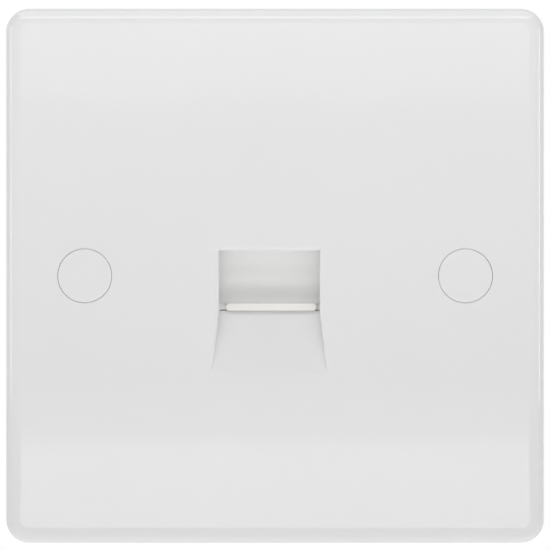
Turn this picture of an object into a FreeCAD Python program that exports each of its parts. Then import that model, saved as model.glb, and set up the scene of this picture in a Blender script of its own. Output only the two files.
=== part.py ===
import FreeCAD, Part
import math
import os

# Flush telephone wall socket: a white moulded square plate, held to a wall box by two capped
# screws, with a spring-loaded shutter over a plug chamber that slants up and back behind it.
# Behind the plate sit the jack housing, six sprung contact wires, a circuit board and a
# six-way insulation-displacement terminal block.
# Frame: +X to the right seen from the front, +Y into the wall, +Z up. The origin is midway
# between the fixing screws in the wall plane. Lengths are millimetres. A "depth" is measured
# back from the plate's front face.

# Faceplate
plate_width = 86.0
plate_height = 85.4
plate_depth = 8.0
plate_corner_radius = 3.9
side_draft_deg = 2.0
edge_roll_radius = 2.6
skin = 2.4
rim_wall = 2.2
inner_root_radius = 0.8
rib_thickness = 1.2
rib_height = 2.8
rib_offset_x = 24.0
rib_offset_z = 29.0
locating_frame_height = 1.6
locating_frame_wall = 1.1

# Fixing screws, their bosses and their cover caps
fixing_spacing = 60.3
boss_root_radius = 6.1
boss_end_radius = 5.7
clearance_hole_radius = 2.1
cap_radius = 4.26
cap_gap = 0.07
cap_thickness = 1.2
cap_bore_radius = 3.7
cap_skirt_gap = 0.08
cap_skirt_wall = 0.8
cap_skirt_length = 1.2
cap_slot_width = 1.1
cap_slots = 3
screw_length = 25.0
screw_thread_radius = 1.75
screw_shank_radius = 1.55
screw_head_radius = 3.45
screw_head_dome = 0.8
screw_head_depth = 3.4
screw_slot_width = 1.0
screw_slot_depth = 1.1
screw_tip_chamfer = 0.5
seat_gap = 0.05

# Aperture and the chute below it that guides the plug up and in
aperture_centre_x = -0.89
aperture_width = 15.92
aperture_top_z = 4.0
chute_top_z = -5.57
chute_foot_z = -15.8
chute_flare = 1.08
chute_lip_depth = 4.1
chute_dish_radius = 240.0
chute_wall = 1.8
cheek_wall = 1.4
mouth_radius = 0.5
mouth_left_radius = 0.8
chute_lip_radius = 0.2

# Shutter
shutter_gap = 0.3
shutter_wall = 1.1
shutter_overlap = 1.2
shutter_side_overlap = 0.15
shutter_cheek = 0.8
scoop_inset = 0.3
scoop_depth = 2.9
scoop_mid_z = -1.6
shutter_foot_z = -5.42
bar_left_x = -7.94
bar_right_x = 6.72
bar_top_z = -4.4
bar_bottom_z = -5.6
bar_inset = 0.6
bar_relief = 0.35
bar_edge_radius = 0.22
bar_nose = 0.45
bar_pocket = 0.5
flange_width = 0.85
flange_thickness = 1.9
flange_bottom_z = -4.6
shutter_travel = 11.5

# Shutter spring
spring_radius = 1.325
spring_wire_radius = 0.175
spring_turns = 8
spring_peg_radius = 0.95
spring_peg_length = 1.5
spring_axis_depth = 4.75
spring_seat_width = 4.4
spring_room = 16.0

# Jack housing and the plug chamber
housing_wall = 1.2
side_clearance = 0.25
chamber_width = 15.6
chamber_length = 14.6
plug_angle_deg = 45.0
chamber_side_wall = 1.5
housing_foot_z = -8.7
chamber_roof_gap = 1.2
latch_start = 8.0
latch_length = 3.2
latch_low = 2.2
latch_height = 2.6
latch_depth = 1.1
fit_gap = 0.1
peg_radius = 0.6
peg_z = -5.0
peg_length = 1.4

# Contact wires, their carrier and retainer
contact_count = 6
contact_pitch = 1.9
contact_radius = 0.25
contact_bore_gap = 0.05
contact_exit_height = 1.5
contact_tip_start = 6.4
contact_tip_height = -0.35
contact_tip_drop = 0.5
contact_bend_radius = 0.6
contact_row_rise = 0.9
contact_row_step = 1.8
contact_tail = 1.1
groove_width = 0.8
groove_depth = 1.1
groove_start = 5.6
carrier_gap = 0.2

# Circuit board and its screws
board_width = 40.0
board_foot_z = -10.5
board_top_z = 22.0
board_thickness = 1.6
board_corner_radius = 1.5
board_setback = 1.2
board_hole_gap = 0.15
board_screw_spacing = 32.0
board_screw_z = 5.5
board_screw_radius = 1.1
board_screw_length = 8.0
board_screw_head_radius = 2.2
board_screw_head_height = 1.5
board_screw_recess_radius = 1.2
board_screw_recess_depth = 0.9
pilot_gap = 0.03
pillar_root_radius = 3.3
pillar_end_radius = 2.6
gusset_reach = 4.0
gusset_height = 6.5
gusset_thickness = 1.0

# Terminal block with its fork terminals
terminal_pitch = 3.96
block_end_wall = 2.6
block_foot_z = 12.4
block_thickness = 8.0
block_height = 11.5
block_base = 3.6
wire_slot_width = 1.3
wire_slot_mouth = 2.3
wire_slot_mouth_depth = 1.6
core_slot_depth = 3.2
fork_width = 3.3
fork_thickness = 0.45
fork_slot_width = 0.36
fork_slot_depth = 4.2
fork_mouth = 1.4
fork_setback = 2.2
fork_angle_deg = 45.0
fork_pocket_gap = 0.08
fork_foot = 1.4
fork_pin_width = 0.8
fork_pin_tail = 1.0

overshoot = 1.0  # how far a cutting body runs past the wall it cuts

# Derived places
face_y = -plate_depth
draft = math.tan(math.radians(side_draft_deg))
skin_back_y = face_y + skin
aperture_left_x = aperture_centre_x - aperture_width / 2
aperture_right_x = aperture_centre_x + aperture_width / 2
chute_lip_y = face_y + chute_lip_depth
chute_angle = math.atan2(chute_lip_depth, chute_top_z - chute_foot_z)
chute_back_y = chute_lip_y + chute_wall / math.cos(chute_angle)
plug_angle = math.radians(plug_angle_deg)
chamber_left_x = aperture_centre_x - chamber_width / 2
chamber_right_x = aperture_centre_x + chamber_width / 2
chamber_end_z = chute_top_z + chamber_length * math.cos(plug_angle)
contact_row_low_z = chamber_end_z + contact_exit_height * math.sin(plug_angle) + contact_row_rise
contact_row_high_z = contact_row_low_z + contact_row_step
chamber_roof_z = contact_row_high_z + chamber_roof_gap
board_y = chute_lip_y + chamber_length * math.sin(plug_angle) + board_setback
board_back_y = board_y + board_thickness
board_left_x = aperture_centre_x - board_width / 2

# Shutter section: a scoop concave to the front, of two arcs that meet at its deepest line
shutter_front_y = skin_back_y + shutter_gap
scoop_front_y = shutter_front_y + scoop_inset
scoop_deep_y = scoop_front_y + scoop_depth
shutter_top_z = aperture_top_z + shutter_overlap
scoop_height = shutter_top_z - scoop_mid_z
upper_radius = (scoop_height**2 + scoop_depth**2) / (2 * scoop_depth)
bar_front_y = shutter_front_y + bar_inset
scoop_foot_y = bar_front_y + bar_relief
foot_height = scoop_mid_z - bar_top_z
foot_depth = scoop_deep_y - scoop_foot_y
lower_radius = (foot_height**2 + foot_depth**2) / (2 * foot_depth)
shutter_back_y = scoop_deep_y + shutter_wall
shutter_left_x = aperture_left_x - shutter_side_overlap - shutter_cheek
shutter_right_x = aperture_right_x + shutter_side_overlap + shutter_cheek
spring_axis_y = face_y + spring_axis_depth
spring_roof_z = shutter_top_z + spring_room

# Housing limits
channel_left_x = shutter_left_x - side_clearance
channel_right_x = shutter_right_x + side_clearance
channel_back_y = shutter_back_y + shutter_gap + fit_gap
slot_left_x = channel_left_x - flange_width
slot_right_x = channel_right_x + flange_width
slot_back_y = shutter_front_y + flange_thickness + side_clearance
tower_left_x = slot_left_x - housing_wall
tower_right_x = slot_right_x + housing_wall
tower_back_y = channel_back_y + housing_wall
tower_top_z = spring_roof_z + housing_wall
deep_left_x = chamber_left_x - chamber_side_wall
deep_right_x = chamber_right_x + chamber_side_wall
deep_top_z = chamber_roof_z + housing_wall
pocket_foot_z = housing_foot_z + housing_wall


def box(x0, x1, y0, y1, z0, z1):
    return Part.makeBox(x1 - x0, y1 - y0, z1 - z0, FreeCAD.Vector(x0, y0, z0))


def rod(radius, x, z, y0, y1):
    """A cylinder along Y."""
    return Part.makeCylinder(radius, y1 - y0, FreeCAD.Vector(x, y0, z), FreeCAD.Vector(0, 1, 0))


def taper(radius0, radius1, x, z, y0, y1):
    """A cone along Y, radius0 at y0 and radius1 at y1."""
    return Part.makeCone(radius0, radius1, y1 - y0, FreeCAD.Vector(x, y0, z), FreeCAD.Vector(0, 1, 0))


def polygon(points):
    return Part.Face(Part.makePolygon(points + points[:1]))


def prism_yz(points, x0, x1):
    """A side-view outline of (y, z) points, run from x0 to x1."""
    face = polygon([FreeCAD.Vector(x0, y, z) for y, z in points])
    return face.extrude(FreeCAD.Vector(x1 - x0, 0, 0))


def prism_xz(points, y0, y1):
    """A front-view outline of (x, z) points, run from y0 to y1."""
    face = polygon([FreeCAD.Vector(x, y0, z) for x, z in points])
    return face.extrude(FreeCAD.Vector(0, y1 - y0, 0))


def joined(shapes):
    first = shapes[0]
    return first.fuse(shapes[1:]).removeSplitter() if len(shapes) > 1 else first


def slanted_point(angle, along, height):
    """The (y, z) of a point measured up a slanted line from the chute's lip, and square to it."""
    y = chute_lip_y + along * math.sin(angle) - height * math.cos(angle)
    z = chute_top_z + along * math.cos(angle) + height * math.sin(angle)
    return y, z


def chute_point(along, height):
    return slanted_point(chute_angle, along, height)


def plug_point(along, height):
    """A point measured along the plug's underside as it lies in its chamber."""
    return slanted_point(plug_angle, along, height)


def contact_x(index):
    return aperture_centre_x + (index - (contact_count - 1) / 2) * contact_pitch


def contact_row_z(index):
    return contact_row_high_z if index % 2 else contact_row_low_z


def terminal_x(index):
    return aperture_centre_x + (index - (contact_count - 1) / 2) * terminal_pitch


def terminal_z():
    return block_foot_z + block_thickness / 2


def fixing_x(side):
    return side * fixing_spacing / 2


def board_screw_x(side):
    return aperture_centre_x + side * board_screw_spacing / 2


def rounded_outline(width, height, radius, y):
    """A closed rounded rectangle in the plane at y, centred on the Y axis."""
    half_x, half_z = width / 2, height / 2
    quarter = radius * (1 - math.sqrt(0.5))
    edges = []
    corners = [(1, 1), (-1, 1), (-1, -1), (1, -1)]
    for number, (sx, sz) in enumerate(corners):
        beside = FreeCAD.Vector(sx * half_x, y, sz * (half_z - radius))
        above = FreeCAD.Vector(sx * (half_x - radius), y, sz * half_z)
        middle = FreeCAD.Vector(sx * (half_x - quarter), y, sz * (half_z - quarter))
        start, end = (beside, above) if sx == sz else (above, beside)
        edges.append(Part.Arc(start, middle, end).toShape())
        next_x, next_z = corners[(number + 1) % 4]
        if next_x == sx:
            follow = FreeCAD.Vector(next_x * half_x, y, next_z * (half_z - radius))
        else:
            follow = FreeCAD.Vector(next_x * (half_x - radius), y, next_z * half_z)
        edges.append(Part.LineSegment(end, follow).toShape())
    return Part.Wire(edges)


def drafted_block(y0, y1, inset):
    """The plate's outline moved in by inset, narrowing with the side draft from y0 forward to y1."""

    def outline(y):
        shrink = inset - y * draft
        return rounded_outline(
            plate_width - 2 * shrink, plate_height - 2 * shrink, plate_corner_radius - shrink, y
        )

    return Part.makeLoft([outline(y0), outline(y1)], True, True)


def edges_in_plane(shape, y, keep=lambda edge: True):
    """The edges of a shape that lie wholly in the plane at y."""
    return [
        edge
        for edge in shape.Edges
        if abs(edge.BoundBox.YMin - y) < 1e-4 and abs(edge.BoundBox.YMax - y) < 1e-4 and keep(edge)
    ]


def aperture_outline(grow=0.0, foot=0.0):
    """Front view of the aperture with the flared chute below it, as (x, z) points."""
    slope = chute_flare / (chute_top_z - chute_foot_z)
    flare = chute_flare + slope * foot
    return [
        (aperture_left_x - grow, aperture_top_z),
        (aperture_right_x + grow, aperture_top_z),
        (aperture_right_x + grow, chute_top_z),
        (aperture_right_x + flare + grow, chute_foot_z - foot),
        (aperture_left_x - flare - grow, chute_foot_z - foot),
        (aperture_left_x - grow, chute_top_z),
    ]


def chute_air():
    """The space in front of the chute's floor: a wide cylinder that gives the floor its dish."""
    reach = 40.0
    start_y, start_z = chute_point(-reach, chute_dish_radius)
    start = FreeCAD.Vector(aperture_centre_x, start_y, start_z)
    up_chute = FreeCAD.Vector(0, math.sin(chute_angle), math.cos(chute_angle))
    cylinder = Part.makeCylinder(chute_dish_radius, 2 * reach, start, up_chute)
    # the cylinder's seam is turned away from the floor
    cylinder.rotate(start, up_chute, 180)
    return cylinder


def chute_body():
    """The chute's floor and cheeks, carried back behind the plate's skin."""
    foot_drop = (chute_back_y - skin_back_y) / math.tan(chute_angle)
    side_view = prism_yz(
        [
            (skin_back_y, chute_top_z),
            (chute_back_y, chute_top_z),
            (skin_back_y, chute_top_z - foot_drop),
        ],
        aperture_left_x - 2 * cheek_wall - 2 * chute_flare,
        aperture_right_x + 2 * cheek_wall + 2 * chute_flare,
    )
    low = foot_drop + chute_top_z - chute_foot_z
    outer = prism_xz(aperture_outline(cheek_wall, low), skin_back_y, chute_back_y + overshoot)
    inner = prism_xz(aperture_outline(0.0, low), skin_back_y - overshoot, chute_back_y + overshoot)
    trough = side_view.common(outer).cut(inner.common(chute_air()))
    lip = [
        edge
        for edge in trough.Edges
        if abs(edge.BoundBox.ZMin - chute_top_z) < 0.3
        and abs(edge.BoundBox.ZMax - chute_top_z) < 0.3
        and edge.BoundBox.YMin > chute_lip_y - 0.5
        and edge.BoundBox.YMax < chute_lip_y + 0.5
        and edge.BoundBox.XLength > aperture_width / 2
    ]
    return trough.makeFillet(chute_lip_radius, lip)


def chute_foot_fill():
    """The part of the chute's floor that lies within the plate's skin, down to its foot."""
    spread = 2 * mouth_left_radius
    foot = 3 * mouth_left_radius
    outline = prism_xz(aperture_outline(spread, foot), face_y, skin_back_y)
    top_z = chute_foot_z + (skin + chute_wall) / math.tan(chute_angle)
    below = box(
        aperture_left_x - 2 * chute_flare - spread,
        aperture_right_x + 2 * chute_flare + spread,
        face_y,
        skin_back_y,
        chute_foot_z - 2 * foot,
        min(top_z, chute_top_z),
    )
    return outline.common(below).cut(chute_air())


def housing_frame():
    """A low wall on the plate's back that locates the jack housing."""
    inner = (tower_left_x - fit_gap, tower_right_x + fit_gap)
    low, high = housing_foot_z, tower_top_z + fit_gap
    end_y = skin_back_y + locating_frame_height
    outer = box(
        inner[0] - locating_frame_wall,
        inner[1] + locating_frame_wall,
        skin_back_y,
        end_y,
        low,
        high + locating_frame_wall,
    )
    return outer.cut(box(*inner, skin_back_y, end_y, low - overshoot, high))


def plate_ribs():
    """Stiffening ribs on the plate's back: two upright, two level, and spokes at the bosses."""
    half_x = plate_width / 2 - rim_wall / 2
    half_z = plate_height / 2 - rim_wall / 2
    end_y = skin_back_y + rib_height
    half_rib = rib_thickness / 2
    ribs = []
    for side in (-1, 1):
        x = side * rib_offset_x
        z = side * rib_offset_z
        ribs.append(box(x - half_rib, x + half_rib, skin_back_y, end_y, -half_z, half_z))
        ribs.append(box(-half_x, half_x, skin_back_y, end_y, z - half_rib, z + half_rib))
        near, far = sorted((side * rib_offset_x, side * half_x))
        ribs.append(box(near, far, skin_back_y, end_y, -half_rib, half_rib))
    return ribs


def pillar(side):
    """A pillar for a board screw, with four gussets at its root."""
    x, z = board_screw_x(side), board_screw_z
    shapes = [taper(pillar_root_radius, pillar_end_radius, x, z, skin_back_y, board_y)]
    half = gusset_thickness / 2
    reach = pillar_root_radius + gusset_reach
    triangle = [
        (skin_back_y, -reach),
        (skin_back_y, reach),
        (skin_back_y + gusset_height, pillar_end_radius),
        (skin_back_y + gusset_height, -pillar_end_radius),
    ]
    upright = prism_yz([(y, z + across) for y, across in triangle], x - half, x + half)
    level = upright.copy()
    level.rotate(FreeCAD.Vector(x, 0, z), FreeCAD.Vector(0, 1, 0), 90)
    return joined(shapes + [upright, level])


def build_faceplate():
    body = drafted_block(0, face_y, 0)
    body = body.makeFillet(edge_roll_radius, edges_in_plane(body, face_y))
    hollow = drafted_block(overshoot, skin_back_y, rim_wall)
    hollow = hollow.makeFillet(inner_root_radius, edges_in_plane(hollow, skin_back_y))
    body = body.cut(hollow)

    bosses = [
        taper(boss_root_radius, boss_end_radius, fixing_x(side), 0, skin_back_y, 0) for side in (-1, 1)
    ]
    back = plate_ribs() + bosses + [housing_frame(), pillar(-1), pillar(1)]
    body = joined([body] + back)

    # the ribs stop short of the jack housing
    body = body.cut(
        box(
            tower_left_x - fit_gap,
            tower_right_x + fit_gap,
            skin_back_y,
            overshoot,
            housing_foot_z - overshoot,
            tower_top_z + fit_gap,
        )
    )
    foot = 2 * mouth_left_radius
    body = body.cut(prism_xz(aperture_outline(0.0, foot), face_y - overshoot, overshoot))
    # the mouth is rounded more along its left edges than along the top and right
    rounded_sides = [
        (mouth_left_radius, lambda edge: edge.BoundBox.XMax < aperture_left_x + fit_gap),
        (mouth_radius, lambda edge: edge.BoundBox.XMax > aperture_centre_x),
    ]
    for radius, on_side in rounded_sides:
        mouth = edges_in_plane(
            body,
            face_y,
            lambda edge: on_side(edge)
            and edge.Length > 2 * mouth_left_radius
            and abs(edge.BoundBox.XMin - aperture_centre_x) < aperture_width
            and abs(edge.BoundBox.XMax - aperture_centre_x) < aperture_width
            and edge.BoundBox.ZMax > chute_foot_z,
        )
        body = body.makeFillet(radius, mouth)
    body = joined([body, chute_body(), chute_foot_fill()])

    for side in (-1, 1):
        x = fixing_x(side)
        seat_top = face_y + screw_head_depth - (cap_bore_radius - screw_head_radius - seat_gap)
        seat_end = seat_top + cap_bore_radius - clearance_hole_radius
        body = body.cut(
            joined(
                [
                    rod(cap_radius + cap_gap, x, 0, face_y - overshoot, face_y + cap_thickness + fit_gap),
                    rod(cap_bore_radius, x, 0, face_y, seat_top),
                    taper(cap_bore_radius, clearance_hole_radius, x, 0, seat_top, seat_end),
                    rod(clearance_hole_radius, x, 0, seat_top, overshoot),
                ]
            )
        )
        x, z = board_screw_x(side), board_screw_z
        pilot_depth = board_screw_length - board_thickness + overshoot
        body = body.cut(rod(board_screw_radius + pilot_gap, x, z, board_y - pilot_depth, board_y))
    return body


def build_cover_cap(side):
    """A disc that closes a screw hole, on a slotted skirt that grips the bore."""
    x = fixing_x(side)
    disc_back = face_y + cap_thickness
    skirt_end = disc_back + cap_skirt_length
    disc = rod(cap_radius, x, 0, face_y, disc_back)
    disc = disc.makeFillet(0.08, edges_in_plane(disc, face_y))
    outer = cap_bore_radius - cap_skirt_gap
    skirt = rod(outer, x, 0, disc_back, skirt_end).cut(
        rod(outer - cap_skirt_wall, x, 0, disc_back, skirt_end)
    )
    for number in range(cap_slots):
        slot = box(x, x + cap_bore_radius, disc_back, skirt_end, -cap_slot_width / 2, cap_slot_width / 2)
        slot.rotate(FreeCAD.Vector(x, 0, 0), FreeCAD.Vector(0, 1, 0), 90 + number * 360 / cap_slots)
        skirt = skirt.cut(slot)
    return joined([disc, skirt])


def build_fixing_screw(side):
    """A raised countersunk slotted machine screw. Its thread is plain, at the outside size."""
    x = fixing_x(side)
    rim = face_y + screw_head_depth
    neck = rim + screw_head_radius - screw_shank_radius
    tip = rim - screw_head_dome + screw_length
    dome_radius = (screw_head_radius**2 + screw_head_dome**2) / (2 * screw_head_dome)
    dome = Part.makeSphere(dome_radius, FreeCAD.Vector(x, rim - screw_head_dome + dome_radius, 0))
    dome = dome.common(rod(screw_head_radius, x, 0, rim - screw_head_dome - overshoot, rim))
    slot = box(
        x - screw_head_radius,
        x + screw_head_radius,
        rim - screw_head_dome - overshoot,
        rim - screw_head_dome + screw_slot_depth,
        -screw_slot_width / 2,
        screw_slot_width / 2,
    )
    return joined(
        [
            dome,
            taper(screw_head_radius, screw_shank_radius, x, 0, rim, neck),
            rod(screw_shank_radius, x, 0, neck, 0),
            rod(screw_thread_radius, x, 0, 0, tip - screw_tip_chamfer),
            taper(
                screw_thread_radius,
                screw_thread_radius - screw_tip_chamfer,
                x,
                0,
                tip - screw_tip_chamfer,
                tip,
            ),
        ]
    ).cut(slot)


def build_shutter():
    """A scoop-shaped slide with closed ends, a pushing bar at its foot and a flange each side."""

    def at(y, z):
        return FreeCAD.Vector(shutter_left_x, y, z)

    def arc(radius, centre_y, angle_top, angle_foot):
        """Part of a circle about the scoop's deepest height, by angles above the horizontal."""
        points = []
        for angle in (angle_top, (angle_top + angle_foot) / 2, angle_foot):
            y = centre_y + radius * math.cos(angle)
            points.append(at(y, scoop_mid_z + radius * math.sin(angle)))
        return Part.Arc(*points).toShape(), points[0], points[-1]

    upper_y = scoop_deep_y - upper_radius
    lower_y = scoop_deep_y - lower_radius
    back_radius = upper_radius + shutter_wall
    front_rise = math.asin(scoop_height / upper_radius)
    back_rise = math.asin(scoop_height / back_radius)
    foot_fall = -math.asin(foot_height / lower_radius)
    upper, top_front, _ = arc(upper_radius, upper_y, front_rise, 0)
    lower, _, foot_front = arc(lower_radius, lower_y, 0, foot_fall)
    back, top_back, mid_back = arc(back_radius, upper_y, back_rise, 0)
    pocket_y = scoop_foot_y + bar_pocket
    foot_line = [foot_front, at(pocket_y, bar_top_z), at(pocket_y, shutter_foot_z)]
    foot_line += [at(shutter_back_y, shutter_foot_z), mid_back]
    rear = [Part.LineSegment(a, b).toShape() for a, b in zip(foot_line, foot_line[1:])]
    top = Part.LineSegment(top_back, top_front).toShape()
    width = FreeCAD.Vector(shutter_right_x - shutter_left_x, 0, 0)
    scoop = Part.Face(Part.Wire([upper, lower] + rear + [back, top])).extrude(width)

    # end cheeks fill the scoop's section forward to the shutter's front
    cheek_line = [mid_back, at(shutter_back_y, shutter_foot_z), at(shutter_front_y, shutter_foot_z)]
    cheek_line += [at(shutter_front_y, shutter_top_z), top_back]
    cheek_edges = [Part.LineSegment(a, b).toShape() for a, b in zip(cheek_line, cheek_line[1:])]
    left_cheek = Part.Face(Part.Wire([back] + cheek_edges))
    left_cheek = left_cheek.extrude(FreeCAD.Vector(shutter_cheek, 0, 0))
    right_cheek = left_cheek.copy()
    right_cheek.translate(FreeCAD.Vector(shutter_right_x - shutter_left_x - shutter_cheek, 0, 0))

    flange_back = shutter_front_y + flange_thickness
    flanges = [
        box(x0, x1, shutter_front_y, flange_back, flange_bottom_z, shutter_top_z)
        for x0, x1 in (
            (shutter_left_x - flange_width + side_clearance, shutter_left_x),
            (shutter_right_x, shutter_right_x + flange_width - side_clearance),
        )
    ]

    # the bar is pill-shaped seen from the front, and its nose hangs a little over the chute's lip
    end_radius = (bar_top_z - bar_bottom_z) / 2
    middle_z = (bar_top_z + bar_bottom_z) / 2
    nose_back = bar_front_y + bar_nose
    left, right = bar_left_x + end_radius, bar_right_x - end_radius
    nose = joined(
        [
            box(left, right, bar_front_y, nose_back, bar_bottom_z, bar_top_z),
            rod(end_radius, left, middle_z, bar_front_y, nose_back),
            rod(end_radius, right, middle_z, bar_front_y, nose_back),
        ]
    )
    nose = nose.makeFillet(bar_edge_radius, edges_in_plane(nose, bar_front_y))
    bar_back = (pocket_y + shutter_back_y) / 2
    stem = box(left, right, bar_front_y + bar_nose / 2, bar_back, shutter_foot_z, bar_top_z)

    seat_back = spring_axis_y + spring_radius + 2 * spring_wire_radius
    seat_left = aperture_centre_x - spring_seat_width / 2
    seat = box(
        seat_left,
        seat_left + spring_seat_width,
        scoop_front_y,
        seat_back,
        shutter_top_z - 2 * shutter_wall,
        shutter_top_z,
    )
    hollow = Part.makeCylinder(
        upper_radius,
        spring_seat_width,
        FreeCAD.Vector(seat_left, upper_y, scoop_mid_z),
        FreeCAD.Vector(1, 0, 0),
    )
    seat = seat.cut(hollow)
    peg = spring_peg(shutter_top_z, shutter_top_z + spring_peg_length)
    return joined([scoop, left_cheek, right_cheek] + flanges + [nose, stem, seat, peg])


def spring_peg(z0, z1):
    base = FreeCAD.Vector(aperture_centre_x, spring_axis_y, z0)
    return Part.makeCylinder(spring_peg_radius, z1 - z0, base)


def build_shutter_spring():
    """A light compression spring between the shutter's seat and the housing's roof."""
    low = shutter_top_z + spring_wire_radius + seat_gap
    high = spring_roof_z - spring_wire_radius - seat_gap
    pitch = (high - low) / spring_turns
    helix = Part.makeHelix(pitch, high - low, spring_radius)
    section = Part.Wire(
        Part.makeCircle(
            spring_wire_radius, FreeCAD.Vector(spring_radius, 0, 0), FreeCAD.Vector(0, 1, 0)
        )
    )
    spring = Part.Wire(helix.Edges).makePipeShell([section], True, True)
    spring.translate(FreeCAD.Vector(aperture_centre_x, spring_axis_y, low))
    return spring


def build_jack_housing():
    tower = box(
        tower_left_x, tower_right_x, skin_back_y, tower_back_y, housing_foot_z, tower_top_z
    )
    deep = box(deep_left_x, deep_right_x, skin_back_y, board_y, housing_foot_z, deep_top_z)
    body = joined([tower, deep])
    front = skin_back_y - overshoot
    chute_back = chute_back_y + 2 * carrier_gap
    low = housing_foot_z - overshoot
    cuts = [
        # the shutter's channel, and a slot each side for its flanges
        box(channel_left_x, channel_right_x, front, channel_back_y, low, spring_roof_z),
        box(
            slot_left_x,
            slot_right_x,
            front,
            slot_back_y,
            flange_bottom_z - shutter_gap,
            shutter_top_z + shutter_travel + shutter_gap,
        ),
        # room for the chute's floor and cheeks below the flange stops
        box(slot_left_x, slot_right_x, front, chute_back, low, chute_top_z + carrier_gap),
        # the plug chamber, which runs through to the back for the contact carrier
        box(
            chamber_left_x,
            chamber_right_x,
            front,
            board_y + overshoot,
            pocket_foot_z,
            chamber_roof_z,
        ),
        latch_pocket(),
    ]
    for cut in cuts:
        body = body.cut(cut)
    roof_peg = spring_peg(spring_roof_z - spring_peg_length, spring_roof_z)
    pegs = [rod(peg_radius, x, peg_z, board_y, board_y + peg_length) for x in housing_peg_x()]
    return joined([body, roof_peg] + pegs)


def housing_peg_x():
    half_wall = chamber_side_wall / 2
    return (deep_left_x + half_wall, deep_right_x - half_wall)


def latch_pocket():
    """The catch for the plug's side latch, in the chamber's right wall."""
    corners = [
        plug_point(latch_start, latch_low),
        plug_point(latch_start + latch_length, latch_low),
        plug_point(latch_start + latch_length, latch_low + latch_height),
        plug_point(latch_start, latch_low + latch_height),
    ]
    return prism_yz(corners, chamber_right_x - overshoot, chamber_right_x + latch_depth)


def build_contact_carrier():
    """The wedge that forms the chamber's floor, with a groove under each contact wire."""
    end_y, end_z = plug_point(chamber_length, 0)
    nose_y = channel_back_y
    nose_z = chute_top_z + (nose_y - chute_lip_y) / math.tan(plug_angle)
    step_y = chute_back_y + 2 * carrier_gap + fit_gap
    foot_z = pocket_foot_z + fit_gap
    wedge = prism_yz(
        [
            (nose_y, nose_z),
            (end_y, end_z),
            (board_y, end_z),
            (board_y, foot_z),
            (step_y, foot_z),
            (step_y, chute_top_z),
            (nose_y, chute_top_z),
        ],
        chamber_left_x + fit_gap,
        chamber_right_x - fit_gap,
    )
    for index in range(contact_count):
        groove = [
            plug_point(groove_start, -groove_depth),
            plug_point(groove_start, overshoot),
            plug_point(chamber_length + overshoot, overshoot),
            plug_point(chamber_length + overshoot, 0),
            plug_point(chamber_length - groove_depth, -groove_depth / 2),
            plug_point((groove_start + chamber_length) / 2, -groove_depth),
        ]
        x = contact_x(index)
        wedge = wedge.cut(prism_yz(groove, x - groove_width / 2, x + groove_width / 2))
    return wedge


def build_contact_retainer():
    """The block above the carrier that stops the plug and carries the wires through to the board."""
    end_y, end_z = plug_point(chamber_length, 0)
    top_z = chamber_roof_z - fit_gap
    face_height = (top_z - end_z - housing_wall) / math.sin(plug_angle)
    upper_y, upper_z = plug_point(chamber_length, face_height)
    block = prism_yz(
        [(end_y, end_z), (upper_y, upper_z), (upper_y, top_z), (board_y, top_z), (board_y, end_z)],
        chamber_left_x + fit_gap,
        chamber_right_x - fit_gap,
    )
    # it stays behind the shutter's channel
    front_y = channel_back_y + carrier_gap
    block = block.common(box(chamber_left_x, chamber_right_x, front_y, board_y, end_z, top_z))
    for index in range(contact_count):
        block = block.cut(contact_wire(index, contact_radius + contact_bore_gap))
    return block


def rounded_path(points, radius):
    """A wire through the points with each inner corner rounded to one radius."""
    edges = []
    start = points[0]
    for before, corner, after in zip(points, points[1:], points[2:]):
        back = (before - corner).normalize()
        ahead = (after - corner).normalize()
        half = back.getAngle(ahead) / 2
        setback = radius / math.tan(half)
        enter = corner + back * setback
        leave = corner + ahead * setback
        bisector = (back + ahead).normalize()
        middle = corner + bisector * (radius / math.sin(half) - radius)
        edges.append(Part.LineSegment(start, enter).toShape())
        edges.append(Part.Arc(enter, middle, leave).toShape())
        start = leave
    edges.append(Part.LineSegment(start, points[-1]).toShape())
    return Part.Wire(edges)


def contact_wire(index, radius):
    """A contact wire's solid: from its tip in the carrier's groove to its tail behind the board."""
    x = contact_x(index)
    tip = plug_point(contact_tip_start - contact_tip_drop / 2, contact_tip_height - contact_tip_drop)
    knee = plug_point(contact_tip_start, contact_tip_height)
    leave = plug_point(chamber_length, contact_exit_height)
    row_z = contact_row_z(index)
    lean = (leave[0] - knee[0]) / (leave[1] - knee[1])
    turn = (leave[0] + (row_z - leave[1]) * lean, row_z)
    tail = (board_back_y + contact_tail, row_z)
    points = [FreeCAD.Vector(x, y, z) for y, z in (tip, knee, turn, tail)]
    path = rounded_path(points, contact_bend_radius / 2)
    direction = (points[1] - points[0]).normalize()
    section = Part.Wire(Part.makeCircle(radius, points[0], direction))
    return path.makePipeShell([section], True, False)


def build_circuit_board():
    board = box(
        board_left_x, board_left_x + board_width, board_y, board_back_y, board_foot_z, board_top_z
    )
    uprights = [
        edge
        for edge in board.Edges
        if edge.BoundBox.YLength > board_thickness / 2
    ]
    board = board.makeFillet(board_corner_radius, uprights)
    y0, y1 = board_y - overshoot, board_back_y + overshoot
    holes = []
    for index in range(contact_count):
        holes.append(rod(contact_radius + board_hole_gap, contact_x(index), contact_row_z(index), y0, y1))
        holes.append(rod(fork_pin_width / 2 + board_hole_gap, terminal_x(index), terminal_z(), y0, y1))
    for side in (-1, 1):
        holes.append(rod(board_screw_radius + board_hole_gap, board_screw_x(side), board_screw_z, y0, y1))
    for x in housing_peg_x():
        holes.append(rod(peg_radius + board_hole_gap / 2, x, peg_z, y0, y1))
    return board.cut(holes)


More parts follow.
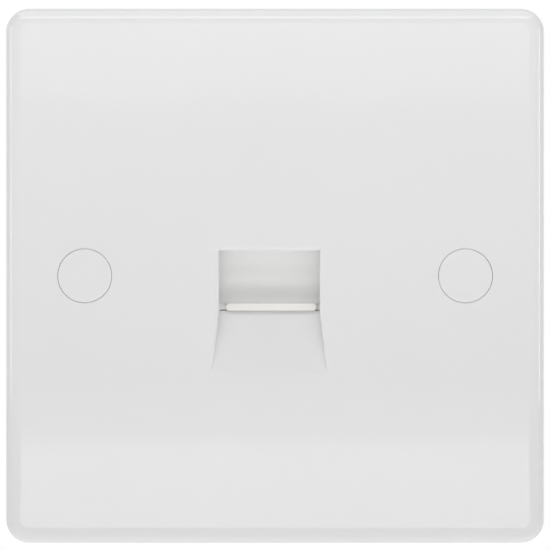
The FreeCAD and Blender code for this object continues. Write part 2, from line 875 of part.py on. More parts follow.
def build_board_screw(side):
    """A pan-head self-tapping screw with a six-sided recess. Its thread is plain."""
    x, z = board_screw_x(side), board_screw_z
    head_end = board_back_y + board_screw_head_height
    head = rod(board_screw_head_radius, x, z, board_back_y, head_end)
    head = head.makeFillet(board_screw_head_height / 2, edges_in_plane(head, head_end))
    shank_end = board_back_y - board_screw_length
    point = board_screw_radius
    shank = rod(board_screw_radius, x, z, shank_end + point, board_back_y)
    cone = taper(board_screw_radius / 3, board_screw_radius, x, z, shank_end, shank_end + point)
    arm = board_screw_recess_radius
    half = arm / 4
    floor = head_end - board_screw_recess_depth
    cross = joined(
        [
            box(x - arm, x + arm, floor, head_end + overshoot, z - half, z + half),
            box(x - half, x + half, floor, head_end + overshoot, z - arm, z + arm),
        ]
    )
    return joined([head, shank, cone]).cut(cross)


def fork_turned(shape, index):
    """Turns a terminal's shape about its own axis, as the wires cross the block at an angle."""
    shape.rotate(
        FreeCAD.Vector(terminal_x(index), 0, terminal_z()), FreeCAD.Vector(0, 1, 0), fork_angle_deg
    )
    return shape


def build_idc_block():
    """Seven posts on one base, with a wire slot between each pair and a pocket for each fork."""
    length = (contact_count - 1) * terminal_pitch + 2 * (block_end_wall + wire_slot_width)
    left = aperture_centre_x - length / 2
    base_y = board_back_y
    end_y = base_y + block_height
    block = box(left, left + length, base_y, end_y, block_foot_z, block_foot_z + block_thickness)
    z0, z1 = block_foot_z - overshoot, block_foot_z + block_thickness + overshoot
    half, mouth = wire_slot_width / 2, wire_slot_mouth / 2
    for index in range(contact_count):
        x = terminal_x(index)
        block = block.cut(box(x - half, x + half, base_y + block_base, end_y + overshoot, z0, z1))
        flare = polygon(
            [
                FreeCAD.Vector(x - half, end_y - wire_slot_mouth_depth, z0),
                FreeCAD.Vector(x + half, end_y - wire_slot_mouth_depth, z0),
                FreeCAD.Vector(x + mouth, end_y, z0),
                FreeCAD.Vector(x + mouth, end_y + overshoot, z0),
                FreeCAD.Vector(x - mouth, end_y + overshoot, z0),
                FreeCAD.Vector(x - mouth, end_y, z0),
            ]
        ).extrude(FreeCAD.Vector(0, 0, z1 - z0))
        block = block.cut(flare)
        wide = fork_width / 2 + fork_pocket_gap
        thick = fork_thickness / 2 + fork_pocket_gap
        pocket = box(
            x - wide,
            x + wide,
            base_y + fork_foot,
            end_y + overshoot,
            terminal_z() - thick,
            terminal_z() + thick,
        )
        block = block.cut(fork_turned(pocket, index))
        pin_hole = rod(fork_pin_width / 2 + fork_pocket_gap, x, terminal_z(), base_y - overshoot, end_y)
        block = block.cut(pin_hole.common(box(x - 2, x + 2, base_y - overshoot, base_y + fork_foot, z0, z1)))
    return block


def build_idc_terminal(index):
    """A stamped fork: two tines with a V mouth over a plate, and a solder pin below."""
    x = terminal_x(index)
    foot_y = board_back_y + fork_foot + fork_pocket_gap
    end_y = board_back_y + block_height - fork_setback
    pin_end = board_y - fork_pin_tail
    half, gap, mouth = fork_width / 2, fork_slot_width / 2, fork_mouth / 2
    slot_foot = end_y - fork_slot_depth
    pin = fork_pin_width / 2
    outline = [
        (x - half, foot_y),
        (x - pin, foot_y),
        (x - pin, pin_end),
        (x + pin, pin_end),
        (x + pin, foot_y),
        (x + half, foot_y),
        (x + half, end_y),
        (x + mouth, end_y),
        (x + gap, end_y - mouth),
        (x + gap, slot_foot),
        (x - gap, slot_foot),
        (x - gap, end_y - mouth),
        (x - mouth, end_y),
        (x - half, end_y),
    ]
    z = terminal_z() - fork_thickness / 2
    plate = polygon([FreeCAD.Vector(px, py, z) for px, py in outline])
    plate = plate.extrude(FreeCAD.Vector(0, 0, fork_thickness))
    return fork_turned(plate, index)


def all_parts():
    parts = {
        "faceplate": build_faceplate(),
        "jack_housing": build_jack_housing(),
        "shutter": build_shutter(),
        "shutter_spring": build_shutter_spring(),
        "contact_carrier": build_contact_carrier(),
        "contact_retainer": build_contact_retainer(),
        "circuit_board": build_circuit_board(),
        "idc_block": build_idc_block(),
    }
    for name, side in (("left", -1), ("right", 1)):
        parts["cover_cap_" + name] = build_cover_cap(side)
        parts["fixing_screw_" + name] = build_fixing_screw(side)
        parts["board_screw_" + name] = build_board_screw(side)
    for index in range(contact_count):
        number = str(index + 1)
        parts["contact_wire_" + number] = contact_wire(index, contact_radius)
        parts["idc_terminal_" + number] = build_idc_terminal(index)
    return parts


os.makedirs("parts", exist_ok=True)
for part_name, solid in all_parts().items():
    solid.exportStep("parts/" + part_name + ".step")
    box_size = solid.BoundBox
    print(
        part_name,
        "solids", len(solid.Solids),
        "valid", solid.isValid(),
        "volume", round(solid.Volume, 2),
        "size", round(box_size.XLength, 2), round(box_size.YLength, 2), round(box_size.ZLength, 2),
    )
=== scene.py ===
import math

import bpy
from mathutils import Matrix, Vector


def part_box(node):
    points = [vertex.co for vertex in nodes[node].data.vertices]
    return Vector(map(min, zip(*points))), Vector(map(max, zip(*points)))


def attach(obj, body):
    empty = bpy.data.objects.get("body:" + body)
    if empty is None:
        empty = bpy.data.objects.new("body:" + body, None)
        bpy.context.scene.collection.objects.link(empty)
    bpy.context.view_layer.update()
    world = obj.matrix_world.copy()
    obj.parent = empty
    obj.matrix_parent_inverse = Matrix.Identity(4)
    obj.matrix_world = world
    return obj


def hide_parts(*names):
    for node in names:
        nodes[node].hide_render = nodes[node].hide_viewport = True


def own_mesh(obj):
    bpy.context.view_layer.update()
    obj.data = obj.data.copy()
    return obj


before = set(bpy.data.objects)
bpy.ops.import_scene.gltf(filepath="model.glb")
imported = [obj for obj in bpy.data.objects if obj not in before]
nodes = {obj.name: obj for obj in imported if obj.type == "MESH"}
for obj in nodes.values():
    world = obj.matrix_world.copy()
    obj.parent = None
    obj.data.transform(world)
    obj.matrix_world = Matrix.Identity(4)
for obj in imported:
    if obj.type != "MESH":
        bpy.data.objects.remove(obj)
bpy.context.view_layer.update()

mm = 0.001


def node_box_mm(name):
    low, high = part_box(name)
    return [c / mm for c in low], [c / mm for c in high]


# Materials
# how fine each noise is, in spots to the metre
tone_scale = 45
wave_scale = 38
rough_scale = 900
grain_scale = 2600
metal_tone_scale = 300
drawn_scale = 1200
board_tone_scale = 160
board_rough_scale = 700
weave_scale = 420
# a noise seldom leaves this part of its range
noise_low, noise_high = 0.3, 0.7
plastic_ior = 1.48
rough_swing = 0.02
grain_strength = 0.5
# how much smoother and rougher than its mean a metal gets
polished, worn = 0.05, 0.08
scratch_depth, scratch_strength = 0.000004, 0.4
weave_depth, weave_strength = 0.000004, 0.5


def material(name):
    """A new material, its node tree, and its shader."""
    made = bpy.data.materials.new(name)
    made.use_nodes = True
    return made, made.node_tree, made.node_tree.nodes["Principled BSDF"]


def add(tree, kind, **settings):
    node = tree.nodes.new(kind)
    for key, value in settings.items():
        setattr(node, key, value)
    return node


def noise(tree, scale, detail=3.0, stretch=(1, 1, 1)):
    """Noise over the object's own metres, drawn out along an axis by stretch."""
    place = add(tree, "ShaderNodeTexCoord")
    mapping = add(tree, "ShaderNodeMapping")
    mapping.inputs["Scale"].default_value = stretch
    made = add(tree, "ShaderNodeTexNoise")
    made.inputs["Scale"].default_value = scale
    made.inputs["Detail"].default_value = detail
    tree.links.new(place.outputs["Object"], mapping.inputs["Vector"])
    tree.links.new(mapping.outputs["Vector"], made.inputs["Vector"])
    return made.outputs["Fac"]


def spread(tree, source, low, high):
    """The middle of a noise, mapped to run from low to high."""
    made = add(tree, "ShaderNodeMapRange")
    made.inputs["From Min"].default_value = noise_low
    made.inputs["From Max"].default_value = noise_high
    made.inputs["To Min"].default_value = low
    made.inputs["To Max"].default_value = high
    tree.links.new(source, made.inputs["Value"])
    return made.outputs["Result"]


def blend_colours(tree, source, dark, light):
    """The colour that runs from dark to light as the source runs from 0 to 1."""
    made = add(tree, "ShaderNodeMix", data_type="RGBA")
    colours = [s for s in made.inputs if s.type == "RGBA"]
    colours[0].default_value = (*dark, 1)
    colours[1].default_value = (*light, 1)
    tree.links.new(source, made.inputs["Factor"])
    return [s for s in made.outputs if s.type == "RGBA"][0]


def bumps(tree, shader, layers):
    """Chains bump layers of (height source, height in metres, strength) into the shader."""
    normal = None
    for source, height, strength in layers:
        made = add(tree, "ShaderNodeBump")
        made.inputs["Distance"].default_value = height
        made.inputs["Strength"].default_value = strength
        tree.links.new(source, made.inputs["Height"])
        if normal is not None:
            tree.links.new(normal, made.inputs["Normal"])
        normal = made.outputs["Normal"]
    tree.links.new(normal, shader.inputs["Normal"])


def plastic(name, dark, light, roughness, grain=0.00002, wave=0.0):
    """A moulded plastic with a fine grain and, where wave is set, a slow wave over its faces."""
    made, tree, shader = material(name)
    shader.inputs["IOR"].default_value = plastic_ior
    tone = blend_colours(tree, spread(tree, noise(tree, tone_scale), 0, 1), dark, light)
    tree.links.new(tone, shader.inputs["Base Color"])
    rough = noise(tree, rough_scale, 4)
    rough = spread(tree, rough, roughness - rough_swing, roughness + rough_swing)
    tree.links.new(rough, shader.inputs["Roughness"])
    layers = [(noise(tree, grain_scale, 2), grain, grain_strength)]
    if wave:
        layers.insert(0, (noise(tree, wave_scale, 0), wave, 1.0))
    bumps(tree, shader, layers)
    return made


def metal(name, dark, light, roughness, stretch=(1, 1, 1)):
    """A metal with fine marks, which a stretch below 1 draws out along that axis."""
    made, tree, shader = material(name)
    shader.inputs["Metallic"].default_value = 1.0
    drawn = noise(tree, drawn_scale, 4, stretch)
    tone = blend_colours(tree, spread(tree, noise(tree, metal_tone_scale, 3), 0, 1), dark, light)
    tree.links.new(tone, shader.inputs["Base Color"])
    rough = spread(tree, drawn, roughness - polished, roughness + worn)
    tree.links.new(rough, shader.inputs["Roughness"])
    bumps(tree, shader, [(drawn, scratch_depth, scratch_strength)])
    return made


# the shutter up to this height above its lowest point, the bar, gets a lighter, warmer colour that is a
# painted highlight
bar_highlight_height = 1.25
bar_highlight_white = (0.905, 0.885, 0.860)


def shutter_material():
    """Warm white, with the bar painted lighter and warmer than the scoop: a painted highlight."""
    made = plastic("shutter_white", (0.850, 0.849, 0.844), (0.860, 0.859, 0.854), 0.19, 0.0000015)
    tree = made.node_tree
    shader = tree.nodes["Principled BSDF"]
    scoop_tone = shader.inputs["Base Color"].links[0].from_socket
    bar_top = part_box("shutter")[0][2] + bar_highlight_height * mm
    place = add(tree, "ShaderNodeTexCoord")
    height = add(tree, "ShaderNodeSeparateXYZ")
    tree.links.new(place.outputs["Object"], height.inputs["Vector"])
    below = add(tree, "ShaderNodeMath", operation="LESS_THAN")
    below.inputs[1].default_value = bar_top
    tree.links.new(height.outputs["Z"], below.inputs[0])
    # painted highlight: below bar_top the bar takes the lighter, warmer colour
    bar_highlight = add(tree, "ShaderNodeMix", data_type="RGBA")
    colours = [s for s in bar_highlight.inputs if s.type == "RGBA"]
    colours[1].default_value = (*bar_highlight_white, 1)
    tree.links.new(below.outputs["Value"], bar_highlight.inputs["Factor"])
    tree.links.new(scoop_tone, colours[0])
    tree.links.new([s for s in bar_highlight.outputs if s.type == "RGBA"][0], shader.inputs["Base Color"])
    return made


front_tones = ((0.811, 0.811, 0.816), (0.819, 0.819, 0.824))
plate_white = plastic("plate_white", *front_tones, 0.05, 0.000001, 0.00001)
cap_white = plastic("cap_white", *front_tones, 0.05, 0.000001)
shutter_white = shutter_material()
housing_white = plastic("housing_white", (0.70, 0.70, 0.68), (0.74, 0.74, 0.72), 0.46, 0.00004)
block_white = plastic("block_white", (0.78, 0.78, 0.75), (0.82, 0.82, 0.79), 0.36, 0.00002)
contact_black = plastic("contact_black", (0.016, 0.016, 0.018), (0.024, 0.024, 0.027), 0.44, 0.00004)
screw_zinc = metal("screw_zinc", (0.52, 0.53, 0.55), (0.66, 0.66, 0.66), 0.27, (1, 0.05, 1))
spring_wire = metal("spring_wire", (0.42, 0.42, 0.43), (0.56, 0.56, 0.57), 0.24, (1, 1, 0.2))
gilt = metal("gilt", (0.80, 0.56, 0.21), (0.90, 0.66, 0.28), 0.20, (1, 0.1, 0.1))
tin = metal("tin", (0.60, 0.60, 0.58), (0.74, 0.74, 0.71), 0.32, (1, 0.15, 1))
solder = metal("solder", (0.56, 0.57, 0.58), (0.70, 0.70, 0.71), 0.22)
silk_white = plastic("silk_white", (0.78, 0.79, 0.77), (0.85, 0.85, 0.83), 0.55, 0.00002)


mask_dark, mask_light = (0.012, 0.085, 0.030), (0.018, 0.115, 0.042)
bare_laminate = (0.42, 0.40, 0.20)
# a face of the board, and not an edge, has a normal with more than this along Y
face_share = 0.7


def board_material():
    """Green solder mask with a faint glass weave, and a bare laminate edge."""
    made, tree, shader = material("board_green")
    cloud = spread(tree, noise(tree, board_tone_scale), 0, 1)
    tone = blend_colours(tree, cloud, mask_dark, mask_light)
    place = add(tree, "ShaderNodeTexCoord")
    weave = add(tree, "ShaderNodeTexWave", wave_type="BANDS", bands_direction="X")
    cross = add(tree, "ShaderNodeTexWave", wave_type="BANDS", bands_direction="Z")
    for band in (weave, cross):
        band.inputs["Scale"].default_value = weave_scale
        tree.links.new(place.outputs["Object"], band.inputs["Vector"])
    both = add(tree, "ShaderNodeMath", operation="ADD")
    tree.links.new(weave.outputs["Fac"], both.inputs[0])
    tree.links.new(cross.outputs["Fac"], both.inputs[1])
    facing = add(tree, "ShaderNodeNewGeometry")
    across = add(tree, "ShaderNodeSeparateXYZ")
    tree.links.new(facing.outputs["Normal"], across.inputs["Vector"])
    size = add(tree, "ShaderNodeMath", operation="ABSOLUTE")
    tree.links.new(across.outputs["Y"], size.inputs[0])
    flat = add(tree, "ShaderNodeMath", operation="GREATER_THAN")
    flat.inputs[1].default_value = face_share
    tree.links.new(size.outputs["Value"], flat.inputs[0])
    mix = add(tree, "ShaderNodeMix", data_type="RGBA")
    colours = [s for s in mix.inputs if s.type == "RGBA"]
    colours[0].default_value = (*bare_laminate, 1)
    tree.links.new(flat.outputs["Value"], mix.inputs["Factor"])
    tree.links.new(tone, colours[1])
    tree.links.new([s for s in mix.outputs if s.type == "RGBA"][0], shader.inputs["Base Color"])
    rough = spread(tree, noise(tree, board_rough_scale), 0.27, 0.36)
    tree.links.new(rough, shader.inputs["Roughness"])
    bumps(tree, shader, [(both.outputs["Value"], weave_depth, weave_strength)])
    return made


board_green = board_material()
track_green = plastic("track_green", (0.022, 0.150, 0.050), (0.030, 0.185, 0.064), 0.26, 0.00001)

# each node takes the look of the first of these names that it starts with
looks = {
    "faceplate": plate_white,
    "cover_cap_": cap_white,
    "fixing_screw_": screw_zinc,
    "board_screw_": screw_zinc,
    "jack_housing": housing_white,
    "shutter_spring": spring_wire,
    "shutter": shutter_white,
    "contact_carrier": contact_black,
    "contact_retainer": contact_black,
    "contact_wire_": gilt,
    "circuit_board": board_green,
    "idc_block": block_white,
    "idc_terminal_": tin,
}
for node_name, thing in nodes.items():
    chosen = next(look for start, look in looks.items() if node_name.startswith(start))
    thing.data.materials.clear()
    thing.data.materials.append(chosen)


# Building pieces
sharp_angle = math.radians(35)
# a turned end closes on a ring of this radius
apex = 0.02
# the corners of a square, in turn
quarters = ((-1, -1), (1, -1), (1, 1), (-1, 1))


def piece(name, points, faces, look, body="socket", smooth=True):
    """A mesh piece from points in millimetres, riding on a body."""
    mesh = bpy.data.meshes.new(name)
    mesh.from_pydata([[c * mm for c in p] for p in points], [], faces)
    mesh.validate()
    mesh.materials.append(look)
    if smooth:
        mesh.polygons.foreach_set("use_smooth", [True] * len(mesh.polygons))
        mesh.set_sharp_from_angle(angle=sharp_angle)
    made = bpy.data.objects.new(name, mesh)
    bpy.context.scene.collection.objects.link(made)
    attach(made, body)
    return made


def rings(sections, closed_ends=True):
    """Points and faces of a tube through equal rings of points."""
    count = len(sections[0])
    points = [p for ring in sections for p in ring]
    faces = []
    for row in range(len(sections) - 1):
        for i in range(count):
            j = (i + 1) % count
            a = row * count
            faces.append((a + i, a + j, a + count + j, a + count + i))
    if closed_ends:
        faces.append(tuple(range(count - 1, -1, -1)))
        faces.append(tuple(range(len(points) - count, len(points))))
    return points, faces


def turned(x, z, profile, sides, flip=1):
    """Rings about a line along Y, from (radius, y) pairs; flip is -1 where y runs down."""
    sections = []
    for radius, y in profile:
        ring = []
        for i in range(sides):
            angle = flip * 2 * math.pi * i / sides
            ring.append((x + radius * math.sin(angle), y, z + radius * math.cos(angle)))
        sections.append(ring)
    return sections


def join_lists(parts):
    """One list of points and one of faces, from several pairs of such lists."""
    points, faces = [], []
    for some_points, some_faces in parts:
        base = len(points)
        points += some_points
        faces += [tuple(base + i for i in f) for f in some_faces]
    return points, faces


# Fixing screws
thread_pitch = 0.6
thread_depth = 0.34
thread_start = 0.35
# rings of points to each turn of the thread, and points to each ring
thread_steps = 10
thread_sides = 32
# where the crest, the flank and the root end, as shares of the pitch
crest_end, flank_end, root_end = 0.16, 0.46, 0.70
# the thread rises from this share of its height to all of it over this length
run_in_share, run_in_length = 0.15, 0.5
head_radius = 3.45
dome_height = 0.8
dome_steps = 8
rim_height = 0.12
shank_radius = 1.55
thread_outer = 1.75
shank_gap, root_gap = 0.4, 0.15
tip_length, tip_drop, tip_slope, tip_flat_drop = 0.1, 0.55, 0.9, 0.75
slot_width, slot_depth = 1.0, 1.1
slot_overrun, slot_clear = 0.5, 1


def thread_radius(phase):
    """The thread's radius over one pitch: crest, flank, root, flank."""
    phase %= 1.0
    if phase < crest_end:
        share = 0.0
    elif phase < flank_end:
        share = (phase - crest_end) / (flank_end - crest_end)
    elif phase < root_end:
        share = 1.0
    else:
        share = 1.0 - (phase - root_end) / (1.0 - root_end)
    return thread_outer - thread_depth * share


def fixing_screw(name):
    """The CAD screw's own outline, with a rolled thread on the part behind the wall plane."""
    low, high = node_box_mm(name)
    x, z = (low[0] + high[0]) / 2, 0.0
    head_y, tip = low[1], high[1]
    rim = head_y + dome_height
    root_radius = thread_outer - thread_depth
    dome_radius = (head_radius**2 + dome_height**2) / (2 * dome_height)
    profile = [(apex, head_y)]
    for i in range(1, dome_steps + 1):
        radius = head_radius * i / dome_steps
        profile.append((radius, head_y + dome_radius - math.sqrt(dome_radius**2 - radius**2)))
    profile += [(head_radius, rim + rim_height), (shank_radius, rim + head_radius - shank_radius)]
    profile += [(shank_radius, thread_start - shank_gap), (root_radius, thread_start - root_gap)]
    sections = turned(x, z, profile, thread_sides)
    thread_length = tip - tip_length - thread_start
    rows = int(thread_length / thread_pitch * thread_steps)
    for row in range(rows + 1):
        y = thread_start + thread_length * row / rows
        ring = []
        for i in range(thread_sides):
            turn = i / thread_sides
            full = thread_radius((y - thread_start) / thread_pitch - turn)
            run_in = min(1.0, (y - thread_start) / run_in_length + run_in_share)
            radius = root_radius + (full - root_radius) * run_in
            radius = min(radius, thread_outer - tip_drop + (tip - y) * tip_slope)
            angle = 2 * math.pi * turn
            ring.append((x + radius * math.sin(angle), y, z + radius * math.cos(angle)))
        sections.append(ring)
    sections += turned(x, z, [(thread_outer - tip_flat_drop, tip), (apex, tip)], thread_sides)
    points, faces = rings(sections)
    made = piece(name + "_threaded", points, faces, screw_zinc)
    cutter = bpy.data.meshes.new("slot_cutter")
    reach, half = head_radius + slot_overrun, slot_width / 2
    ends = (head_y - slot_clear, head_y + slot_depth)
    corners = [(sx * reach + x, y, sz * half) for y in ends for sx, sz in quarters]
    cutter.from_pydata(
        [[c * mm for c in p] for p in corners],
        [],
        [(3, 2, 1, 0), (4, 5, 6, 7), (0, 1, 5, 4), (1, 2, 6, 5), (2, 3, 7, 6), (3, 0, 4, 7)],
    )
    tool = bpy.data.objects.new("slot_cutter", cutter)
    bpy.context.scene.collection.objects.link(tool)
    cut = made.modifiers.new("slot", "BOOLEAN")
    cut.operation, cut.solver, cut.object = "DIFFERENCE", "EXACT", tool
    bpy.context.view_layer.update()
    finished = bpy.data.meshes.new_from_object(made.evaluated_get(bpy.context.evaluated_depsgraph_get()))
    made.modifiers.clear()
    made.data = finished
    bpy.data.objects.remove(tool)
    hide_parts(name)


fixing_screw("fixing_screw_left")
fixing_screw("fixing_screw_right")


# Shutter spring
wire_radius = 0.175
wire_sides = 10
coil_radius = 1.325
coil_turns = 9.5
closed_turns = 1.0
steps_per_turn = 28
closed_gap = 0.02


def spring():
    """A wound spring with its end coils closed."""
    low, high = node_box_mm("shutter_spring")
    x = (low[0] + high[0]) / 2
    y = (low[1] + high[1]) / 2
    bottom, top = low[2] + wire_radius, high[2] - wire_radius
    closed_pitch = 2 * wire_radius + closed_gap
    open_turns = coil_turns - 2 * closed_turns
    open_pitch = (top - bottom - 2 * closed_turns * closed_pitch) / open_turns
    steps = int(coil_turns * steps_per_turn)
    line = []
    for i in range(steps + 1):
        turn = i / steps_per_turn
        if turn < closed_turns:
            z = bottom + closed_pitch * turn
        elif turn < coil_turns - closed_turns:
            z = bottom + closed_pitch * closed_turns + open_pitch * (turn - closed_turns)
        else:
            z = top - closed_pitch * (coil_turns - turn)
        angle = 2 * math.pi * turn
        line.append(Vector((x + coil_radius * math.cos(angle), y + coil_radius * math.sin(angle), z)))
    sections = []
    for i, at in enumerate(line):
        along = (line[min(i + 1, steps)] - line[max(i - 1, 0)]).normalized()
        out = Vector((at.x - x, at.y - y, 0)).normalized()
        up = along.cross(out).normalized()
        out = up.cross(along).normalized()
        ring = []
        for k in range(wire_sides):
            angle = 2 * math.pi * k / wire_sides
            ring.append(tuple(at + wire_radius * (out * math.cos(angle) + up * math.sin(angle))))
        sections.append(ring)
    points, faces = rings(sections)
    made = piece("shutter_spring_wound", points, faces, spring_wire)
    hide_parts("shutter_spring")
    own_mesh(made)


spring()


# Board: tracks, pads, solder and printed figures
board_low, board_high = node_box_mm("circuit_board")
front_y, back_y = board_low[1], board_high[1]
ways = 6
wire_half = 0.25
contacts = []
terminals = []
for number in range(1, ways + 1):
    low, high = node_box_mm("contact_wire_%d" % number)
    contacts.append(((low[0] + high[0]) / 2, high[2] - wire_half))
    low, high = node_box_mm("idc_terminal_%d" % number)
    terminals.append(((low[0] + high[0]) / 2, (low[2] + high[2]) / 2))
# how far each layer stands up from the board, and how far it is sunk so that no gap shows
mask_lift = 0.035
pad_lift = 0.05
print_lift = 0.045
sunk = 0.01
track_width = 0.75
track_rise = 1.3
track_slope = 0.55
straight_shift = 0.1
# hole and pad radii under the contact wires and under the terminals
contact_ring = (0.42, 0.72)
terminal_ring = (0.57, 1.05)
ring_sides = 32
# each fillet's radius on its pad, its radius on the pin, and its height
contact_fillet = (0.68, 0.27, 0.62)
terminal_fillet = (0.98, 0.42, 0.66)
fillet_steps = 8
fillet_sides = 24
widest_mitre = 0.5


def ribbon(line, width, y0, y1):
    """A flat track through (x, z) points on the board's face, with mitred corners."""
    left, right = [], []
    for i, (x, z) in enumerate(line):
        before = Vector(line[i]) - Vector(line[i - 1]) if i else Vector(line[1]) - Vector(line[0])
        after = Vector(line[i + 1]) - Vector(line[i]) if i + 1 < len(line) else before
        before, after = before.normalized(), after.normalized()
        across = before + after
        across = Vector((-across.y, across.x)).normalized()
        half = width / 2 / max(widest_mitre, across.dot(Vector((-before.y, before.x))))
        left.append((x + across.x * half, z + across.y * half))
        right.append((x - across.x * half, z - across.y * half))
    sections = []
    for (lx, lz), (rx, rz) in zip(left, right):
        sections.append([(lx, y0, lz), (lx, y1, lz), (rx, y1, rz), (rx, y0, rz)])
    return rings(sections)


tracks = []
for (cx, cz), (tx, tz) in zip(contacts, terminals):
    turn_z = contacts[1][1] + track_rise
    shift = abs(tx - cx)
    line = [(cx, cz), (cx, turn_z)]
    if shift > straight_shift:
        line.append((tx, turn_z + shift * track_slope))
    line.append((tx, tz))
    tracks.append(ribbon(line, track_width, back_y - sunk, back_y + mask_lift))
points, faces = join_lists(tracks)
piece("board_tracks", points, faces, track_green, smooth=False)


def tinned_ring(x, z, inner, outer, y, away):
    """A tinned ring on the board's surface at y, which stands up along away."""
    foot, face = y - away * sunk, y + away * pad_lift
    profile = [(inner, foot), (outer, foot), (outer, face), (inner, face)]
    return rings(turned(x, z, profile, ring_sides), False)


pads = []
for x, z in contacts:
    pads.append(tinned_ring(x, z, *contact_ring, back_y, 1))
    pads.append(tinned_ring(x, z, *contact_ring, front_y, -1))
for x, z in terminals:
    pads.append(tinned_ring(x, z, *terminal_ring, front_y, -1))
points, faces = join_lists(pads)
piece("board_pads", points, faces, tin)


def fillet(x, z, pad, pin, height, y, away):
    """A solder joint that climbs from its pad to the pin in a hollow curve."""
    hollow, climb = 2.2, 0.9
    crown_share, crown_height = 0.4, 0.05
    profile = [(pad, y)]
    for i in range(1, fillet_steps + 1):
        left = 1 - i / fillet_steps
        radius = pin + (pad - pin) * left**hollow
        profile.append((radius, y + away * height * (1 - left**climb)))
    profile += [(pin * crown_share, y + away * (height + crown_height))]
    return rings(turned(x, z, profile, fillet_sides, away))


joints = [fillet(x, z, *contact_fillet, back_y + pad_lift, 1) for x, z in contacts]
joints += [fillet(x, z, *terminal_fillet, front_y - pad_lift, -1) for x, z in terminals]
points, faces = join_lists(joints)
piece("solder_joints", points, faces, solder)


figure_height = 1.25
figure_thickness = 0.012
figure_lift = 0.015


def figure(text, x, z):
    """A printed figure on the back of the board, upright seen from behind."""
    curve = bpy.data.curves.new("figure", "FONT")
    curve.body = text
    curve.align_x, curve.align_y = "CENTER", "CENTER"
    curve.size = figure_height * mm
    curve.extrude = figure_thickness * mm
    curve.resolution_u = 4
    holder = bpy.data.objects.new("figure_" + text, curve)
    bpy.context.scene.collection.objects.link(holder)
    bpy.context.view_layer.update()
    mesh = bpy.data.meshes.new_from_object(holder.evaluated_get(bpy.context.evaluated_depsgraph_get()))
    bpy.data.objects.remove(holder)
    place = (x * mm, (back_y + figure_lift) * mm, z * mm)
    facing_back = Matrix(((-1, 0, 0), (0, 0, 1), (0, 1, 0))).to_4x4()
    mesh.transform(Matrix.Translation(place) @ facing_back)
    mesh.materials.clear()
    mesh.materials.append(silk_white)
    made = bpy.data.objects.new("printed_" + text, mesh)
    bpy.context.scene.collection.objects.link(made)
    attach(made, "socket")


block_low, block_high = node_box_mm("idc_block")
for number, (x, z) in enumerate(terminals, 1):
    figure(str(number), x, (block_high[2] + board_high[2]) / 2)

line_width = 0.18
line_gap, top_gap = 0.35, 0.12
x0, x1 = block_low[0] - line_gap, block_high[0] + line_gap
z0, z1 = block_low[2] - line_gap, block_high[2] + top_gap
outline = [(x0, z0), (x1, z0), (x1, z1), (x0, z1), (x0, z0)]
print_low, print_high = back_y - sunk, back_y + print_lift
printed = [ribbon([a, b], line_width, print_low, print_high) for a, b in zip(outline, outline[1:])]
points, faces = join_lists(printed)
piece("printed_outline", points, faces, silk_white, smooth=False)


# Stage, light and camera
white = (1, 1, 1, 1)
white_level = 1.0
floor_grey = (0.88, 0.88, 0.88)
# the floor takes shadow up to the first radius, and is plain white from the second
shadow_radius, white_radius = 0.11, 0.19
# what the floor adds by itself near the part, where it is seen and where it only lights
seen_glow, lit_glow = 0.26, 0.385
sky_level = 0.15


def seen_directly(tree):
    """1 for rays that show the background: from the camera, in a reflection, or through glass."""
    path = add(tree, "ShaderNodeLightPath")
    total = path.outputs["Is Camera Ray"]
    for name in ("Is Glossy Ray", "Is Transmission Ray"):
        both = add(tree, "ShaderNodeMath", operation="MAXIMUM")
        tree.links.new(total, both.inputs[0])
        tree.links.new(path.outputs[name], both.inputs[1])
        total = both.outputs["Value"]
    return total


def floor_material():
    """A pale floor that takes the part's shadow, and that fades to plain white further out."""
    made, tree, shader = material("floor_pale")
    shader.inputs["Roughness"].default_value = 0.9
    shader.inputs["Specular IOR Level"].default_value = 0.0
    shader.inputs["Emission Color"].default_value = white
    place = add(tree, "ShaderNodeTexCoord")
    radius = add(tree, "ShaderNodeVectorMath", operation="LENGTH")
    tree.links.new(place.outputs["Object"], radius.inputs[0])
    far = add(tree, "ShaderNodeMapRange", interpolation_type="SMOOTHSTEP")
    far.inputs["From Min"].default_value = shadow_radius
    far.inputs["From Max"].default_value = white_radius
    tree.links.new(radius.outputs["Value"], far.inputs["Value"])
    seen = seen_directly(tree)
    faded = add(tree, "ShaderNodeMath", operation="MULTIPLY")
    tree.links.new(far.outputs["Result"], faded.inputs[0])
    tree.links.new(seen, faded.inputs[1])
    base = blend_colours(tree, faded.outputs["Value"], floor_grey, (0, 0, 0))
    tree.links.new(base, shader.inputs["Base Color"])
    shown = add(tree, "ShaderNodeMapRange")
    shown.inputs["To Min"].default_value = seen_glow
    shown.inputs["To Max"].default_value = white_level
    tree.links.new(far.outputs["Result"], shown.inputs["Value"])
    glow = add(tree, "ShaderNodeMapRange")
    glow.inputs["To Min"].default_value = lit_glow
    tree.links.new(seen, glow.inputs["Value"])
    tree.links.new(shown.outputs["Result"], glow.inputs["To Max"])
    tree.links.new(glow.outputs["Result"], shader.inputs["Emission Strength"])
    return made


floor_z = -0.064
floor_reach = 3
floor_corners = [(sx * floor_reach, sy * floor_reach, floor_z) for sx, sy in quarters]
floor_mesh = bpy.data.meshes.new("floor")
floor_mesh.from_pydata(floor_corners, [], [(0, 1, 2, 3)])
floor_mesh.materials.append(floor_material())
floor = bpy.data.objects.new("floor", floor_mesh)
bpy.context.scene.collection.objects.link(floor)

world = bpy.data.worlds.new("soft_white")
bpy.context.scene.world = world
world.use_nodes = True
sky = world.node_tree
sky_light = sky.nodes["Background"]
sky_light.inputs["Color"].default_value = white
level = add(sky, "ShaderNodeMapRange")
level.inputs["To Min"].default_value = sky_level
level.inputs["To Max"].default_value = white_level
sky.links.new(seen_directly(sky), level.inputs["Value"])
sky.links.new(level.outputs["Result"], sky_light.inputs["Strength"])


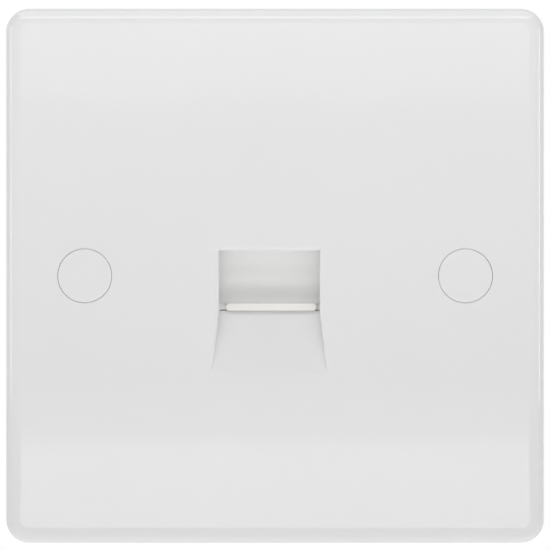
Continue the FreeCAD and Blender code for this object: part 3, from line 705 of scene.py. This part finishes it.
def softbox(name, place, aim, width, height, watts):
    """A white rectangular lamp that faces its aim, with its height in the upright plane."""
    light = bpy.data.lights.new(name, "AREA")
    light.shape = "RECTANGLE"
    light.size, light.size_y, light.energy = width, height, watts
    made = bpy.data.objects.new(name, light)
    bpy.context.scene.collection.objects.link(made)
    made.location = place
    made.rotation_euler = (Vector(aim) - Vector(place)).to_track_quat("-Z", "Y").to_euler()


softbox("roof", (0, -0.20, 0.70), (0, -0.20, 0), 1.0, 1.0, 3.7)
softbox("high", (0, -0.46, 0.655), (0, 0, 0), 0.8, 0.14, 1.0)
softbox("tilted", (0, -0.78, 0.44), (0, 0, 0), 0.40, 0.45, 0.17)
softbox("crown", (0, -0.95, 0.205), (0, 0, 0.205), 0.42, 0.20, 0.27)
softbox("crown_foot", (0, -0.95, 0.105), (0, 0, 0.105), 0.42, 0.05, 0.05)
softbox("left", (-0.9, -0.06, 0.05), (0, 0, 0.02), 0.10, 0.5, 0.85)
softbox("right", (0.9, -0.06, 0.05), (0, 0, 0.02), 0.10, 0.5, 0.85)
softbox("floor_front", (0, -0.375, -0.0625), (0, -0.375, 1), 0.24, 0.39, 0.56)
softbox("floor_middle", (0, -0.73, -0.0625), (0, -0.73, 1), 0.26, 0.32, 0.14)

# the camera stands level and all but square on, and its frame is shifted onto the plate
face_y = -0.008
distance = 0.450
pixels_per_mm = 6.315
image_px = 550
sensor_width = 36
nearest, furthest = 0.01, 50
camera_x, camera_z = -0.001, 0.003
# the pixel on which the frame's origin falls
centre_px = (275.11, 275.85)
lens_data = bpy.data.cameras.new("camera")
lens_data.sensor_width = sensor_width
lens_data.lens = sensor_width * pixels_per_mm * distance / mm / image_px
lens_data.shift_x = (image_px / 2 - camera_x / mm * pixels_per_mm - centre_px[0]) / image_px
lens_data.shift_y = (centre_px[1] - image_px / 2 - camera_z / mm * pixels_per_mm) / image_px
lens_data.clip_start, lens_data.clip_end = nearest, furthest
camera = bpy.data.objects.new("camera", lens_data)
bpy.context.scene.collection.objects.link(camera)
camera.location = (camera_x, face_y - distance, camera_z)
camera.rotation_euler = (math.radians(90), 0, 0)
bpy.context.scene.camera = camera
bpy.context.scene.view_settings.view_transform = "Standard"
